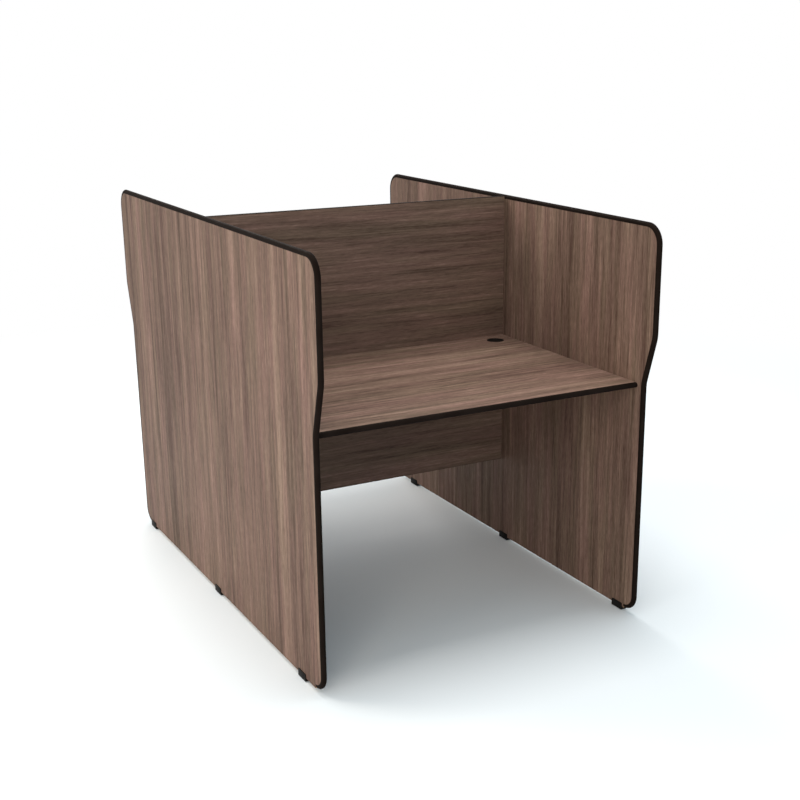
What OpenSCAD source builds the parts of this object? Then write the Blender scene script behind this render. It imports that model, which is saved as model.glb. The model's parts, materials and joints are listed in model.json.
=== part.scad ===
// Double-sided call-centre station: two waisted side panels carry a centre divider
// and two desks that face each other. Millimetres, Z up. The origin is on the floor
// at the centre of the footprint, the front desk is on the -Y side, and the grain of
// the side panels runs up while that of the desks and the divider runs along X.
// Each side panel is the same part: the right one is the left one turned half a turn
// about Z, and the back desk is the front desk turned the same way.

/* [Overall] */
// Width over the outer faces of the side panels
station_w = 1060; // [900:10:1400]
// Height of the side panels' top above the floor
panel_top_z = 1210; // [1100:5:1400]
// Depth of a side panel above its waist
depth_top = 1646; // [1600:2:1800]
// Depth of a side panel below its waist
depth_low = 1562; // [1548:2:1590]

/* [Side panels] */
// Thickness of a side panel
side_t = 15; // [15:1:25]
// Gap between a side panel's bottom edge and the floor
floor_gap = 12; // [11:0.5:20]
// Outer radius of the top corners
corner_r_top = 60; // [40:1:120]
// Outer radius of the bottom corners
corner_r_low = 50; // [30:1:57]
// Height at which the edge starts to slant outward
waist_low_z = 743; // [700:1:790]
// Height at which the slant ends
waist_high_z = 887; // [860:1:960]
// Radius of the bends at both ends of the slant
waist_r = 91; // [40:1:160]

/* [Edge profile] */
// Length of the flat flanks between the board's edge and the profile's round nose
nose_flank = 5; // [2:0.5:8]
// Thickness of the spine that is pressed into the board's groove
spine_t = 2.4; // [1.6:0.1:3]
// Depth of the spine
spine_deep = 9; // [8.5:0.5:12]
// Height of each barb on the spine
barb_h = 0.3; // [0.1:0.05:0.5]
// Length of each barb's ramp
barb_run = 1.6; // [1:0.1:1.8]
// Distance from one row of barbs to the next
barb_pitch = 2.6; // [2:0.1:2.7]
// Rows of barbs on each side of the spine
barb_rows = 3; // [1:1:3]
// Distance of the first row of barbs from the board's edge
barb_start = 1; // [0.6:0.1:1.4]
// Clearance between the barbs and the groove's walls
groove_clear = 0.1; // [0.05:0.05:0.3]
// Room between the spine's end and the groove's floor
groove_room = 1; // [0.2:0.1:2]

/* [Desks] */
// Height of the desks' top face above the floor
desk_top_z = 740; // [680:5:780]
// Depth of a desk from the divider to its rounded front edge
desk_depth = 745; // [600:5:755]
// Thickness of a desk
desk_t = 15; // [15:1:25]

/* [Divider] */
// Thickness of the divider
divider_t = 15; // [15:1:25]
// How far the divider's top edge is below the side panels' top
divider_drop = 4; // [0:1:40]
// Height of the divider's bottom edge above the floor
divider_bottom_z = 295; // [100:5:320]
// Thickness of the flat tape on the divider's top and bottom edges
tape_t = 1; // [0.4:0.1:3]

/* [Cable grommet] */
// Diameter of the hole in the desk
grommet_hole_d = 50; // [46:1:70]
// Distance of the grommet's centre from the side panel
grommet_side = 68; // [60:1:140]
// Distance of the grommet's centre from the divider
grommet_back = 62; // [58:1:160]
// How far the flange reaches past the hole
flange_over = 4; // [3:0.5:8]
// Thickness of the flange
flange_t = 2; // [1.5:0.1:4]
// Size of the eased edge of the flange's rim
flange_ease = 0.5; // [0.2:0.1:1]
// Clearance round the flange in the rebate that takes it
rebate_clear = 0.2; // [0.1:0.05:0.5]
// Wall of the liner's skirt
liner_wall = 2; // [1.2:0.1:3]
// Depth of the skirt below the desk's top face
skirt_deep = 18; // [12:0.5:30]
// Clearance between the skirt and the hole
skirt_clear = 0.2; // [0.1:0.05:0.5]
// Width of the ledge that carries the cap
ledge_w = 2; // [1:0.1:3]
// Thickness of the ledge
ledge_t = 2; // [1:0.1:3]
// Thickness of the cap
cap_t = 3; // [2.6:0.1:4]
// Clearance round the cap
cap_clear = 0.1; // [0.05:0.05:0.1]
// Height of the cap above its ledge
cap_lift = 0.1; // [0.05:0.05:0.3]
// Width of the cable slot in the cap
slot_w = 17; // [10:0.5:24]
// Length of the cable slot from the cap's rim
slot_len = 13; // [9:0.5:18]
// Clearance round the flap that closes the slot
flap_clear = 0.3; // [0.2:0.05:0.6]
// Diameter of the flap's two pins
flap_pin_d = 1.5; // [1:0.1:1.8]
// Length of each pin inside the cap
flap_pin_len = 1.5; // [1:0.1:3]
// Radial play of the pins
pin_play = 0.05; // [0.02:0.01:0.08]

/* [Levelling feet] */
// Distance from the middle foot to the front and back feet
foot_pitch = 670; // [500:5:675]
// Shift of a side panel's row of feet along the panel
foot_shift = 28; // [0:1:30]
// Length of a shoe along the panel
shoe_len = 50; // [44:1:64]
// Thickness of a shoe's cheeks
shoe_wall = 2.5; // [1.5:0.1:4]
// How far the cheeks reach up the panel's faces
shoe_rise = 12; // [8:0.5:30]
// Corner radius of the cheeks
shoe_corner_r = 4; // [1:0.5:6]
// Gap between a shoe's underside and the floor
shoe_lift = 2; // [1:0.25:3]
// Diameter of the foot pad
pad_d = 16; // [12:0.5:17]
// Thickness of the foot pad
pad_t = 4; // [3:0.25:4.5]
// Radial clearance round the pad in its pocket
pad_clear = 0.4; // [0.3:0.05:0.6]
// Gap between the pad's top and its pocket at rest
pad_gap = 0.2; // [0.1:0.05:0.3]
// Diameter of the adjusting stem
stem_d = 6; // [5:0.5:7]
// Length of the adjusting stem above the pad
stem_len = 26; // [20:1:34]
// Radial play of the stem in its nut
stem_play = 0.05; // [0.02:0.01:0.08]
// Size across the flats of the nut
nut_af = 10; // [9:0.5:11]
// Thickness of the nut
nut_t = 5; // [4:0.25:5]
// Clearance round the nut in its pocket
nut_clear = 0.1; // [0.05:0.05:0.2]
// Diameter of the stem's clearance bore in the panel
stem_bore_d = 8; // [7.5:0.5:9]
// Depth of the stem's clearance bore in the panel
stem_bore_deep = 24; // [23:1:40]
// Size across the flats of the hexagon socket under the pad
key_af = 5; // [3:0.5:8]
// Depth of the hexagon socket
key_deep = 2.5; // [1:0.25:2.75]
// Distance of the two shoe screws from the foot's centre
shoe_screw_x = 17; // [15:0.5:18]
// Diameter of the shoe screws' shank
shoe_screw_d = 3.5; // [2.5:0.1:4]
// Diameter of the shoe screws' head
shoe_screw_head_d = 7; // [5:0.25:8]
// Length of the shoe screws
shoe_screw_len = 30; // [20:1:45]
// Clearance round screws in their holes
screw_clear = 0.1; // [0.05:0.05:0.2]

/* [Cam joints] */
// Diameter of the cam discs
cam_d = 15; // [12:0.5:16]
// Thickness of the cam discs
cam_t = 12; // [11:0.25:12.5]
// Width of the cross recess in a cam disc
recess_w = 1.2; // [0.8:0.1:2]
// Depth of the cross recess in a cam disc
recess_deep = 1.4; // [0.8:0.1:2.5]
// Clearance round a cam disc in its pocket
cam_clear = 0.1; // [0.05:0.05:0.2]
// Distance from a board's end to the cam's centre
cam_inset = 24; // [20:1:34]
// Diameter of a cam bolt's shank
bolt_d = 5; // [4:0.5:6]
// Diameter of a cam bolt's head
bolt_head_d = 6.4; // [5.5:0.1:7]
// Length of a cam bolt's head
bolt_head_len = 3; // [2:0.25:4]
// Diameter of a cam bolt's neck behind the head
bolt_neck_d = 3.4; // [2.5:0.1:4]
// Length of a cam bolt's neck
bolt_neck_len = 4; // [3:0.25:5]
// Depth of a cam bolt's thread in the side panel
bolt_grip = 11; // [8:0.5:12]
// Diameter of the clearance bore for a cam bolt
bolt_bore_d = 8; // [7.5:0.5:9]
// Radial clearance of bolts and dowels in their seats
seat_clear = 0.05; // [0.02:0.01:0.1]
// Diameter of the dowels
dowel_d = 8; // [6:0.5:9]
// Depth of a dowel in the side panel
dowel_grip = 10; // [8:0.5:12]
// Depth of a dowel in the desk or the divider
dowel_deep = 20; // [15:1:40]
// Distance of the first and last cam from a desk's front and back edges
desk_cam_end = 70; // [45:1:120]
// Distance of a desk's dowels from its end cams
desk_dowel_step = 64; // [32:1:120]
// Distance of the outer cams along the divider from its middle
through_x = 370; // [200:5:390]
// Distance of the two through dowels from the middle
through_dowel_x = 185; // [60:5:190]
// Height of the divider's lowest cams above its bottom edge
divider_cam_low = 55; // [40:1:120]
// Height of the divider's second cams above its bottom edge
divider_cam_mid = 300; // [200:5:340]
// Height of the divider's third cams above the desks
divider_cam_seat = 110; // [60:5:200]
// Distance of the divider's highest cams below its top edge
divider_cam_top = 60; // [40:1:120]
// Distance of the divider's dowels from its lowest and highest cams
divider_dowel_step = 110; // [60:5:130]
// Diameter of the caps over the divider's cams
cover_d = 17; // [17:0.5:22]
// Thickness of the caps over the divider's cams
cover_t = 1.2; // [0.8:0.1:2]

/* [Hidden] */
$fn = 96;

// Colours as the eye sees them
wood_side = "#8f7768";
wood_desk = "#7a6558";
wood_divider = "#5a4b41";
plastic_black = "#1c1a19";
zinc = "#a9adb0";
beech = "#c9a878";

// The edge profile is as thick as the board. It stands out by its flat flanks and by
// a half-round nose
side_bulge = nose_flank + side_t / 2;
desk_bulge = nose_flank + desk_t / 2;
overlap = 1;

// Side panel outline in the panel's own plane: x runs front to back, y runs up
edge_low = depth_low / 2 - side_bulge;
edge_top = depth_top / 2 - side_bulge;
edge_roof = panel_top_z - side_bulge;
edge_sole = floor_gap + side_bulge;
arc_top = corner_r_top - side_bulge;
arc_low = corner_r_low - side_bulge;

// A bend is a full ring cut by a wedge. The wedge's sides are this many bend radii
// long, which clears the ring at any bend of up to a quarter turn
wedge_reach = 3;

slant = atan2(edge_top - edge_low, waist_high_z - waist_low_z);
bend_len = waist_r * tan(abs(slant) / 2);
bend_off = [-sin(slant), cos(slant)] * bend_len;
sole_end = edge_low - arc_low;

// Tangent points of the front half, from the bottom corner to the top corner
p_sole = [-sole_end, edge_sole];
p_low_a = [-edge_low, edge_sole + arc_low];
p_low_b = [-edge_low, waist_low_z - bend_len];
p_slant_a = [-edge_low, waist_low_z] + bend_off;
p_slant_b = [-edge_top, waist_high_z] - bend_off;
p_top_a = [-edge_top, waist_high_z + bend_len];
p_top_b = [-edge_top, edge_roof - arc_top];
p_roof = [-edge_top + arc_top, edge_roof];
front_half = [p_sole, p_low_a, p_low_b, p_slant_a, p_slant_b, p_top_a, p_top_b, p_roof];

// Centres of the four bends of the front half. Where the panel flares upward, the
// lower bend of the waist is the hollow one
flares = edge_top > edge_low;
bulge_way = flares ? 1 : -1;
c_low = [-sole_end, edge_sole + arc_low];
c_waist_low = [-edge_low - bulge_way * waist_r, waist_low_z - bend_len];
c_waist_high = [-edge_top + bulge_way * waist_r, waist_high_z + bend_len];
c_top = [-edge_top + arc_top, edge_roof - arc_top];
c_round = flares ? c_waist_high : c_waist_low;
c_hollow = flares ? c_waist_low : c_waist_high;

groove_t = spine_t + 2 * (barb_h + groove_clear);
groove_deep = spine_deep + groove_room;

inner_x = station_w / 2 - side_t;
divider_y = divider_t / 2;
divider_top_z = panel_top_z - divider_drop;
desk_under_z = desk_top_z - desk_t;
desk_board_depth = desk_depth - desk_bulge;
desk_front_y = -divider_y - desk_board_depth;

// Grommet of the front desk
grommet_x = inner_x - grommet_side;
grommet_y = -divider_y - grommet_back;
skirt_r = grommet_hole_d / 2 - skirt_clear;
liner_r = skirt_r - liner_wall;
cap_r = liner_r - cap_clear;
ledge_r = liner_r - ledge_w;
flange_r = grommet_hole_d / 2 + flange_over;
flange_seat_z = desk_top_z - flange_t;
cap_z = desk_top_z - cap_t;
ledge_z = cap_z - cap_lift;
flap_pin_z = cap_z + cap_t / 2;
flap_pin_y = cap_r - slot_len + flap_clear + cap_t / 2;

// Feet of the left panel
foot_y = [-foot_pitch + foot_shift, foot_shift, foot_pitch + foot_shift];
side_mid_x = -station_w / 2 + side_t / 2;
shoe_w = side_t + 2 * shoe_wall;
nut_z = floor_gap - nut_t;
shoe_screw_z = shoe_lift + shoe_screw_len;

// Cams, bolts and dowels of the front desk and of the divider
desk_cam_y = [
  -divider_y - desk_cam_end,
  -divider_y - desk_board_depth / 2,
  desk_front_y + desk_cam_end
];
desk_dowel_y = [desk_cam_y[0] - desk_dowel_step, desk_cam_y[2] + desk_dowel_step];
divider_cam_z = [
  divider_bottom_z + divider_cam_low,
  divider_bottom_z + divider_cam_mid,
  desk_top_z + divider_cam_seat,
  divider_top_z - divider_cam_top
];
divider_dowel_z = [
  divider_cam_z[0] + divider_dowel_step,
  divider_cam_z[3] - divider_dowel_step
];
through_cam_x = [-through_x, 0, through_x];
joint_z = desk_top_z - desk_t / 2;

// Half a turn about the station's upright axis
module turned() {
  rotate([0, 0, 180]) children();
}

// Lays the panel's own plane upright at the left side of the station
module at_left_side() {
  translate([side_mid_x, 0, 0]) rotate([90, 0, 90]) children();
}

// Sweeps a section from point a to point b, with the section's x pointing outward
module sweep_line(a, b) {
  way = b - a;
  translate([a.x, a.y, 0])
    rotate([0, 0, atan2(way.y, way.x) + 90])
      rotate([90, 0, 0])
        linear_extrude(norm(way)) children();
}

// Sweeps a section round the bend from point a to point b about centre c: the part
// of a ring between the two tangent points. On a hollow bend the section is turned
// over, because outward is towards the centre
module sweep_bend(c, a, b, hollow = false) {
  intersection() {
    translate([c.x, c.y, 0])
      rotate_extrude()
        translate([norm(a - c), 0]) mirror([hollow ? 1 : 0, 0]) children();
    linear_extrude(2 * side_t, center = true)
      polygon([c, c + wedge_reach * (a - c), c + wedge_reach * (b - c)]);
  }
}

// Sweeps a section along a side panel's edge, from the bottom of the front edge
// over the top to the bottom of the back edge
module along_side_edge() {
  for (side = [0, 1])
    mirror([side, 0, 0]) {
      sweep_bend(c_low, p_sole, p_low_a) children();
      sweep_line(p_low_a, p_low_b) children();
      sweep_bend(c_waist_low, p_low_b, p_slant_a, flares) children();
      sweep_line(p_slant_a, p_slant_b) children();
      sweep_bend(c_waist_high, p_slant_b, p_top_a, !flares) children();
      sweep_line(p_top_a, p_top_b) children();
      sweep_bend(c_top, p_top_b, p_roof) children();
    }
  sweep_line(p_roof, [-p_roof.x, p_roof.y]) children();
}

// One flank of the spine, with its rows of barbs
function flank(s) = [
  for (i = [0 : barb_rows - 1])
    for (p = [
      [-barb_start - barb_pitch * i, s * spine_t / 2],
      [-barb_start - barb_pitch * i, s * (spine_t / 2 + barb_h)],
      [-barb_start - barb_pitch * i - barb_run, s * spine_t / 2]
    ]) p
];

function reversed(v) = [for (i = [len(v) - 1 : -1 : 0]) v[i]];

// Round-nosed edge profile of thickness t with its barbed spine
module profile_section(t) {
  intersection() {
    translate([nose_flank, 0]) circle(d = t);
    translate([nose_flank - overlap, -t / 2]) square([t / 2 + overlap, t]);
  }
  translate([0, -t / 2]) square([nose_flank, t]);
  polygon(concat(
    [[overlap, -spine_t / 2], [overlap, spine_t / 2]],
    flank(1),
    [[-spine_deep, spine_t / 2 - barb_h], [-spine_deep, -spine_t / 2 + barb_h]],
    reversed(flank(-1))
  ));
}

// Groove that takes the spine
module groove_section() {
  translate([-groove_deep, -groove_t / 2]) square([groove_deep + overlap, groove_t]);
}

// Waisted outline of a side board, with its rounded corners and bends
module side_outline() {
  difference() {
    union() {
      polygon(concat([for (p = front_half) [-p.x, p.y]], reversed(front_half)));
      for (s = [-1, 1]) {
        translate([s * c_low.x, c_low.y]) circle(arc_low);
        translate([s * c_round.x, c_round.y]) circle(waist_r);
        translate([s * c_top.x, c_top.y]) circle(arc_top);
      }
      translate([-sole_end, floor_gap]) square([2 * sole_end, side_bulge + overlap]);
    }
    for (s = [-1, 1])
      translate([s * c_hollow.x, c_hollow.y]) circle(waist_r);
  }
}

// A bore or a rod along X that starts at x and runs len towards -X
module rod_x(p, d, len) {
  translate(p) rotate([0, -90, 0]) cylinder(d = d, h = len);
}

// Side board with the seats for its feet, bolts and dowels
module side_board() {
  difference() {
    at_left_side() linear_extrude(side_t, center = true) side_outline();
    at_left_side() along_side_edge() groove_section();
    for (y = foot_y) {
      translate([side_mid_x, y, floor_gap - overlap])
        cylinder(d = stem_bore_d, h = stem_bore_deep + overlap);
      for (s = [-1, 1])
        translate([side_mid_x, y + s * shoe_screw_x, floor_gap - overlap])
          cylinder(d = shoe_screw_d + 2 * screw_clear, h = shoe_screw_z - floor_gap + 2 * overlap);
    }
    for (side = [-1, 1]) {
      for (y = desk_cam_y)
        rod_x([-inner_x + overlap, side * y, joint_z], bolt_d + 2 * seat_clear,
              bolt_grip + seat_clear + overlap);
      for (y = desk_dowel_y)
        rod_x([-inner_x + overlap, side * y, joint_z], dowel_d + 2 * seat_clear,
              dowel_grip + seat_clear + overlap);
    }
    for (z = divider_cam_z)
      rod_x([-inner_x + overlap, 0, z], bolt_d + 2 * seat_clear,
            bolt_grip + seat_clear + overlap);
    for (z = divider_dowel_z)
      rod_x([-inner_x + overlap, 0, z], dowel_d + 2 * seat_clear,
            dowel_grip + seat_clear + overlap);
  }
}

module left_side_board() {
  color(wood_side) side_board();
}

module right_side_board() {
  color(wood_side) turned() side_board();
}

module side_profile() {
  at_left_side() along_side_edge() profile_section(side_t);
}

module left_edge_profile() {
  color(plastic_black) side_profile();
}

module right_edge_profile() {
  color(plastic_black) turned() side_profile();
}

// Pocket for a cam disc, cut upward from z = 0
module cam_pocket() {
  translate([0, 0, -overlap])
    cylinder(d = cam_d + 2 * cam_clear, h = cam_t + cam_clear + overlap);
}

// Desk board of the front desk
module desk_board() {
  difference() {
    translate([-inner_x, desk_front_y, desk_under_z])
      cube([2 * inner_x, desk_board_depth, desk_t]);
    translate([0, desk_front_y, joint_z])
      rotate([0, 0, 180]) rotate([90, 0, 90])
        linear_extrude(2 * inner_x + 2 * overlap, center = true) groove_section();
    translate([grommet_x, grommet_y, desk_under_z - overlap])
      cylinder(d = grommet_hole_d, h = desk_t + 2 * overlap);
    translate([grommet_x, grommet_y, flange_seat_z])
      cylinder(r = flange_r + rebate_clear, h = flange_t + overlap);
    for (side = [-1, 1]) {
      for (y = desk_cam_y) {
        translate([side * (inner_x - cam_inset), y, desk_under_z]) cam_pocket();
        translate([side * inner_x, y, joint_z]) rotate([0, -side * 90, 0])
          translate([0, 0, -overlap]) cylinder(d = bolt_bore_d, h = cam_inset + overlap);
      }
      for (y = desk_dowel_y)
        translate([side * inner_x, y, joint_z]) rotate([0, -side * 90, 0])
          translate([0, 0, -overlap])
            cylinder(d = dowel_d + 2 * seat_clear, h = dowel_deep + seat_clear + overlap);
    }
    for (x = through_cam_x) {
      translate([x, -divider_y - cam_inset, desk_under_z]) cam_pocket();
      translate([x, -divider_y + overlap, joint_z]) rotate([90, 0, 0])
        cylinder(d = bolt_bore_d, h = cam_inset + overlap);
    }
    for (s = [-1, 1])
      translate([s * through_dowel_x, -divider_y + overlap, joint_z]) rotate([90, 0, 0])
        cylinder(d = dowel_d + 2 * seat_clear, h = dowel_deep + seat_clear + overlap);
  }
}

module front_desk_board() {
  color(wood_desk) desk_board();
}

module back_desk_board() {
  color(wood_desk) turned() desk_board();
}

// Round-nosed profile on a desk's front edge, between the side panels
module desk_profile() {
  translate([0, desk_front_y, joint_z])
    rotate([0, 0, 180]) rotate([90, 0, 90])
      linear_extrude(2 * inner_x, center = true) profile_section(desk_t);
}

module front_desk_profile() {
  color(plastic_black) desk_profile();
}

module back_desk_profile() {
  color(plastic_black) turned() desk_profile();
}

// One board serves as the screen above the desks and as the modesty panel below
module divider_board() {
  board_low = divider_bottom_z + tape_t;
  board_high = divider_top_z - tape_t;
  color(wood_divider)
    difference() {
      translate([-inner_x, -divider_y, board_low])
        cube([2 * inner_x, divider_t, board_high - board_low]);
      for (side = [-1, 1]) {
        for (z = divider_cam_z) {
          translate([side * (inner_x - cam_inset), divider_y, z]) rotate([90, 0, 0])
            cam_pocket();
          translate([side * inner_x, 0, z]) rotate([0, -side * 90, 0])
            translate([0, 0, -overlap]) cylinder(d = bolt_bore_d, h = cam_inset + overlap);
        }
        for (z = divider_dowel_z)
          translate([side * inner_x, 0, z]) rotate([0, -side * 90, 0])
            translate([0, 0, -overlap])
              cylinder(d = dowel_d + 2 * seat_clear, h = dowel_deep + seat_clear + overlap);
        translate([side * through_dowel_x, divider_y + overlap, joint_z]) rotate([90, 0, 0])
          cylinder(d = dowel_d + 2 * seat_clear, h = divider_t + 2 * overlap);
      }
      for (x = through_cam_x)
        translate([x, divider_y + overlap, joint_z]) rotate([90, 0, 0])
          cylinder(d = bolt_d + 2 * seat_clear, h = divider_t + 2 * overlap);
    }
}

module divider_tape(z) {
  color(plastic_black)
    translate([-inner_x, -divider_y, z]) cube([2 * inner_x, divider_t, tape_t]);
}

module divider_top_tape() {
  divider_tape(divider_top_z - tape_t);
}

module divider_bottom_tape() {
  divider_tape(divider_bottom_z);
}

// Moulded liner: a flange let flush into the desk's top face, with an eased rim, a
// skirt down the hole and a ledge for the cap, which tapers back into the skirt below
module grommet_liner() {
  skirt_z = desk_top_z - skirt_deep;
  translate([grommet_x, grommet_y, 0])
    rotate_extrude()
      polygon([
        [liner_r, skirt_z],
        [skirt_r, skirt_z],
        [skirt_r, flange_seat_z],
        [flange_r, flange_seat_z],
        [flange_r, desk_top_z - flange_ease],
        [flange_r - flange_ease, desk_top_z],
        [liner_r, desk_top_z],
        [liner_r, ledge_z],
        [ledge_r, ledge_z],
        [ledge_r, ledge_z - ledge_t / 2],
        [liner_r, ledge_z - ledge_t]
      ]);
}

module front_grommet_liner() {
  color(plastic_black) grommet_liner();
}

module back_grommet_liner() {
  color(plastic_black) turned() grommet_liner();
}

// Cap with a cable slot at its rim, the slot's mouth facing the divider
module grommet_cap() {
  translate([grommet_x, grommet_y, 0])
    difference() {
      translate([0, 0, cap_z]) cylinder(r = cap_r, h = cap_t);
      translate([-slot_w / 2, cap_r - slot_len, cap_z - overlap])
        cube([slot_w, slot_len + overlap, cap_t + 2 * overlap]);
      translate([-slot_w / 2 - flap_pin_len - pin_play, flap_pin_y, flap_pin_z])
        rotate([0, 90, 0])
          cylinder(d = flap_pin_d + 2 * pin_play,
                   h = slot_w + 2 * (flap_pin_len + pin_play));
    }
}

module front_grommet_cap() {
  color(plastic_black) grommet_cap();
}

module back_grommet_cap() {
  color(plastic_black) turned() grommet_cap();
}

// Flap that closes the cable slot: its outer end follows the cap's rim, and its
// inner end is a knuckle round the pins
module grommet_flap() {
  flap_w = slot_w - 2 * flap_clear;
  translate([grommet_x, grommet_y, 0]) {
    intersection() {
      translate([0, 0, cap_z]) cylinder(r = cap_r - flap_clear, h = cap_t);
      translate([-flap_w / 2, flap_pin_y, cap_z])
        cube([flap_w, slot_len, cap_t]);
    }
    translate([-flap_w / 2, flap_pin_y, flap_pin_z]) rotate([0, 90, 0])
      cylinder(d = cap_t, h = flap_w);
    translate([-slot_w / 2 - flap_pin_len, flap_pin_y, flap_pin_z]) rotate([0, 90, 0])
      cylinder(d = flap_pin_d, h = slot_w + 2 * flap_pin_len);
  }
}

module front_grommet_flap() {
  color(plastic_black) grommet_flap();
}

module back_grommet_flap() {
  color(plastic_black) turned() grommet_flap();
}

// Side view of a shoe's cheek: square at the floor, rounded at the top
module cheek_outline() {
  rise_z = floor_gap + shoe_rise;
  half = shoe_len / 2;
  translate([-half, shoe_lift])
    square([shoe_len, rise_z - shoe_corner_r - shoe_lift]);
  translate([-half + shoe_corner_r, shoe_lift])
    square([shoe_len - 2 * shoe_corner_r, rise_z - shoe_lift]);
  for (s = [-1, 1])
    translate([s * (half - shoe_corner_r), rise_z - shoe_corner_r]) circle(shoe_corner_r);
}

// Moulded shoe: two cheeks that clasp the panel over a base that holds the nut
// from above and the pad from below
module shoe(y) {
  translate([side_mid_x, y, 0])
    difference() {
      rotate([90, 0, 90]) linear_extrude(shoe_w, center = true) cheek_outline();
      translate([-side_t / 2, -shoe_len / 2 - overlap, floor_gap])
        cube([side_t, shoe_len + 2 * overlap, shoe_rise + overlap]);
      translate([0, 0, shoe_lift - overlap])
        cylinder(d = pad_d + 2 * pad_clear, h = pad_t + pad_gap - shoe_lift + overlap);
      translate([0, 0, shoe_lift])
        cylinder(d = stem_bore_d, h = floor_gap);
      translate([0, 0, nut_z])
        cylinder(d = (nut_af + 2 * nut_clear) / cos(30), h = nut_t + overlap, $fn = 6);
      for (s = [-1, 1])
        translate([0, s * shoe_screw_x, 0]) shoe_screw_seat();
    }
}

// Countersunk screw that holds a shoe, standing on z = 0 of the floor
module shoe_screw_form(head_d, shank_d, len) {
  head_h = (head_d - shank_d) / 2;
  translate([0, 0, shoe_lift])
    rotate_extrude() polygon([
      [0, 0], [head_d / 2, 0], [shank_d / 2, head_h], [shank_d / 2, len], [0, len]
    ]);
}

module shoe_screw_seat() {
  shoe_screw_form(shoe_screw_head_d + 2 * screw_clear, shoe_screw_d + 2 * screw_clear,
                  shoe_screw_len);
  translate([0, 0, shoe_lift - overlap])
    cylinder(d = shoe_screw_head_d + 2 * screw_clear, h = overlap);
}

module left_front_shoe() {
  color(plastic_black) shoe(foot_y[0]);
}

module left_middle_shoe() {
  color(plastic_black) shoe(foot_y[1]);
}

module left_back_shoe() {
  color(plastic_black) shoe(foot_y[2]);
}

module right_front_shoe() {
  color(plastic_black) turned() shoe(foot_y[2]);
}

module right_middle_shoe() {
  color(plastic_black) turned() shoe(foot_y[1]);
}

module right_back_shoe() {
  color(plastic_black) turned() shoe(foot_y[0]);
}

// Levelling screw: a pad on the floor, a plain stem and a socket for a key below
module leveller(y) {
  ease = pad_t / 5;
  translate([side_mid_x, y, 0])
    difference() {
      rotate_extrude() polygon([
        [0, 0], [pad_d / 2 - ease, 0], [pad_d / 2, ease], [pad_d / 2, pad_t],
        [stem_d / 2, pad_t], [stem_d / 2, pad_t + stem_len - ease],
        [stem_d / 2 - ease, pad_t + stem_len], [0, pad_t + stem_len]
      ]);
      translate([0, 0, -overlap])
        cylinder(d = key_af / cos(30), h = key_deep + overlap, $fn = 6);
    }
}

module left_front_leveller() {
  color(plastic_black) leveller(foot_y[0]);
}

module left_middle_leveller() {
  color(plastic_black) leveller(foot_y[1]);
}

module left_back_leveller() {
  color(plastic_black) leveller(foot_y[2]);
}

module right_front_leveller() {
  color(plastic_black) turned() leveller(foot_y[2]);
}

module right_middle_leveller() {
  color(plastic_black) turned() leveller(foot_y[1]);
}

module right_back_leveller() {
  color(plastic_black) turned() leveller(foot_y[0]);
}

// Puts a piece at every foot of both panels
module at_each_foot() {
  for (y = foot_y) {
    translate([side_mid_x, y, 0]) children();
    turned() translate([side_mid_x, y, 0]) children();
  }
}

module leveller_nuts() {
  color(zinc)
    at_each_foot() translate([0, 0, nut_z])
      difference() {
        cylinder(d = nut_af / cos(30), h = nut_t, $fn = 6);
        translate([0, 0, -overlap])
          cylinder(d = stem_d + 2 * stem_play, h = nut_t + 2 * overlap);
      }
}

module shoe_screws() {
  color(zinc)
    at_each_foot()
      for (s = [-1, 1])
        translate([0, s * shoe_screw_x, 0])
          shoe_screw_form(shoe_screw_head_d, shoe_screw_d, shoe_screw_len);
}

// Cam disc standing on z = 0, with the mouth for the bolt towards +X and a
// cross recess, half the disc wide, in the face that shows
module cam_disc(deep) {
  mouth = bolt_head_d + 4 * cam_clear;
  difference() {
    cylinder(d = cam_d, h = cam_t);
    translate([-bolt_head_len, -mouth / 2, deep - mouth / 2])
      cube([cam_d, mouth, mouth]);
    for (a = [0, 90])
      rotate([0, 0, a]) translate([-cam_d / 4, -recess_w / 2, -overlap])
        cube([cam_d / 2, recess_w, overlap + recess_deep]);
  }
}

// Cam discs of the front desk: one row at each end and one along the divider
module desk_cam_set() {
  for (y = desk_cam_y) {
    translate([inner_x - cam_inset, y, desk_under_z]) cam_disc(desk_t / 2);
    translate([-inner_x + cam_inset, y, desk_under_z]) rotate([0, 0, 180])
      cam_disc(desk_t / 2);
  }
  for (x = through_cam_x)
    translate([x, -divider_y - cam_inset, desk_under_z]) rotate([0, 0, 90])
      cam_disc(desk_t / 2);
}

module front_desk_cams() {
  color(zinc) desk_cam_set();
}

module back_desk_cams() {
  color(zinc) turned() desk_cam_set();
}

module divider_cams() {
  color(zinc)
    for (z = divider_cam_z) {
      translate([inner_x - cam_inset, divider_y, z]) rotate([90, 0, 0])
        cam_disc(divider_t / 2);
      translate([-inner_x + cam_inset, divider_y, z]) rotate([90, 180, 0])
        cam_disc(divider_t / 2);
    }
}

// Head end of a cam bolt: it starts at the joint's face and ends in the cam
module bolt_reach() {
  tip = cam_inset + bolt_head_len / 2;
  neck = tip - bolt_head_len - bolt_neck_len;
  rotate_extrude() polygon([
    [0, 0], [bolt_d / 2, 0], [bolt_d / 2, neck], [bolt_neck_d / 2, neck],
    [bolt_neck_d / 2, tip - bolt_head_len], [bolt_head_d / 2, tip - bolt_head_len],
    [bolt_head_d / 2, tip], [0, tip]
  ]);
}

// Cam bolt along +X, its thread in the left panel
module cam_bolt() {
  rotate([0, 90, 0]) {
    translate([0, 0, -bolt_grip]) cylinder(d = bolt_d, h = bolt_grip + overlap);
    bolt_reach();
  }
}

// Puts a piece at each joint along the left panel's inner face
module at_left_joints(desk_ys, divider_zs) {
  for (side = [-1, 1])
    for (y = desk_ys)
      translate([-inner_x, side * y, joint_z]) children();
  for (z = divider_zs)
    translate([-inner_x, 0, z]) children();
}

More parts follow.
